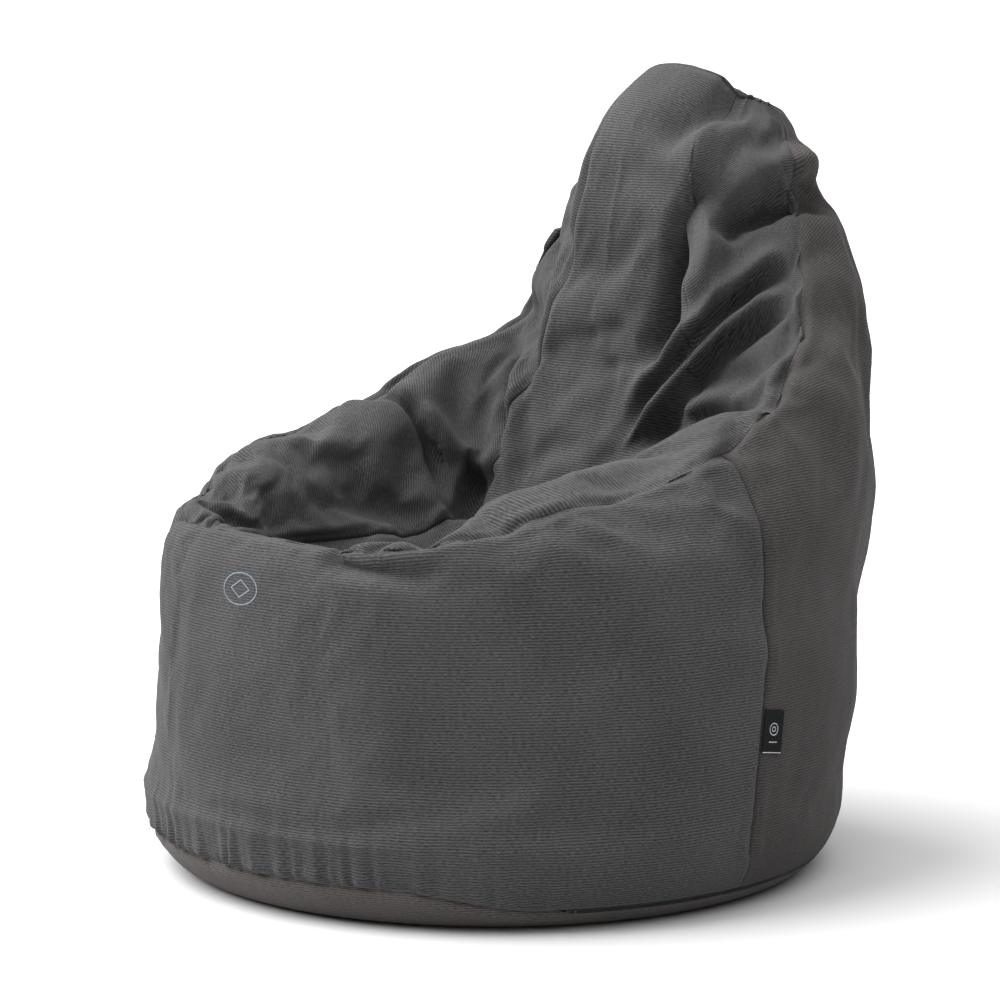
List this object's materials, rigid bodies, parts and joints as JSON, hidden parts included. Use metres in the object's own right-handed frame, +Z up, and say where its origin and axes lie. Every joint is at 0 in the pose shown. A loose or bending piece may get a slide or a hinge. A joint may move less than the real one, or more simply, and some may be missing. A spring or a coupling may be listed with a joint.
{
  "type": "bean bag chair",
  "caption": "Bean bag armchair with a high back, a dished seat, a zipped fabric cover and an inner bag of foam beads.",
  "frame": {"origin": "centre of the round base, on the floor", "axes": "+Z up, the chair faces -Y, +X is the chair's own left side"},
  "size_m": [0.7776, 0.7849, 0.8658],
  "materials": {
    "cover_fabric": "matte",
    "back_fabric": "matte",
    "base_fabric": "matte",
    "liner_fabric": "matte",
    "beads": "matte",
    "zip_tape": "matte",
    "zip_coil": "matte",
    "zip_metal": "satin",
    "liner_zip_tape": "matte",
    "liner_zip_coil": "matte",
    "liner_zip_metal": "satin",
    "label_weave": "matte",
    "care_weave": "matte",
    "motif_thread": "matte"
  },
  "bodies": {
    "bag": {"front_panel": "cover_fabric", "left_arm_panel": "cover_fabric", "right_arm_panel": "cover_fabric", "seat_back_panel": "cover_fabric", "back_panel": "back_fabric", "base_panel": "base_fabric", "liner_front_panel": "liner_fabric", "liner_back_panel": "liner_fabric", "liner_top_panel": "liner_fabric", "liner_base_panel": "liner_fabric", "bead_fill": "beads", "zip_tape_upper": "zip_tape", "zip_tape_lower": "zip_tape", "zip_coil_upper": "zip_coil", "zip_coil_lower": "zip_coil", "zip_open_stop": "zip_metal", "zip_closed_stop": "zip_metal", "liner_zip_tape_upper": "liner_zip_tape", "liner_zip_tape_lower": "liner_zip_tape", "liner_zip_coil_upper": "liner_zip_coil", "liner_zip_coil_lower": "liner_zip_coil", "liner_zip_open_stop": "liner_zip_metal", "liner_zip_closed_stop": "liner_zip_metal", "care_label": "care_weave", "front_motif": "motif_thread"},
    "zip_slider": {"zip_slider": "zip_metal"},
    "zip_pull": {"zip_pull": "zip_metal"},
    "label_flap": {"side_label": "label_weave"},
    "liner_slider": {"liner_zip_slider": "liner_zip_metal"}
  },
  "joints": [
    {"name": "zip_travel", "type": "hinge", "parent": "bag", "child": "zip_slider", "pos_m": [0, 0, 0.022], "axis": [0, 0, 1], "range_deg": [-110.92, 0]},
    {"name": "pull_swing", "type": "hinge", "parent": "zip_slider", "child": "zip_pull", "pos_m": [0.0615, 0.36588, 0.0197], "axis": [-0.0991, -0.5896, -0.8016], "range_deg": [0, 170]},
    {"name": "label_flip", "type": "hinge", "parent": "bag", "child": "label_flap", "pos_m": [0.38822, 0.00598, 0.17202], "axis": [0.0204, -0.1518, -0.9882], "range_deg": [0, 150]},
    {"name": "liner_zip_travel", "type": "hinge", "parent": "bag", "child": "liner_slider", "pos_m": [0, 0, 0.022], "axis": [0, 0, 1], "range_deg": [-57.54, 0]}
  ]
}
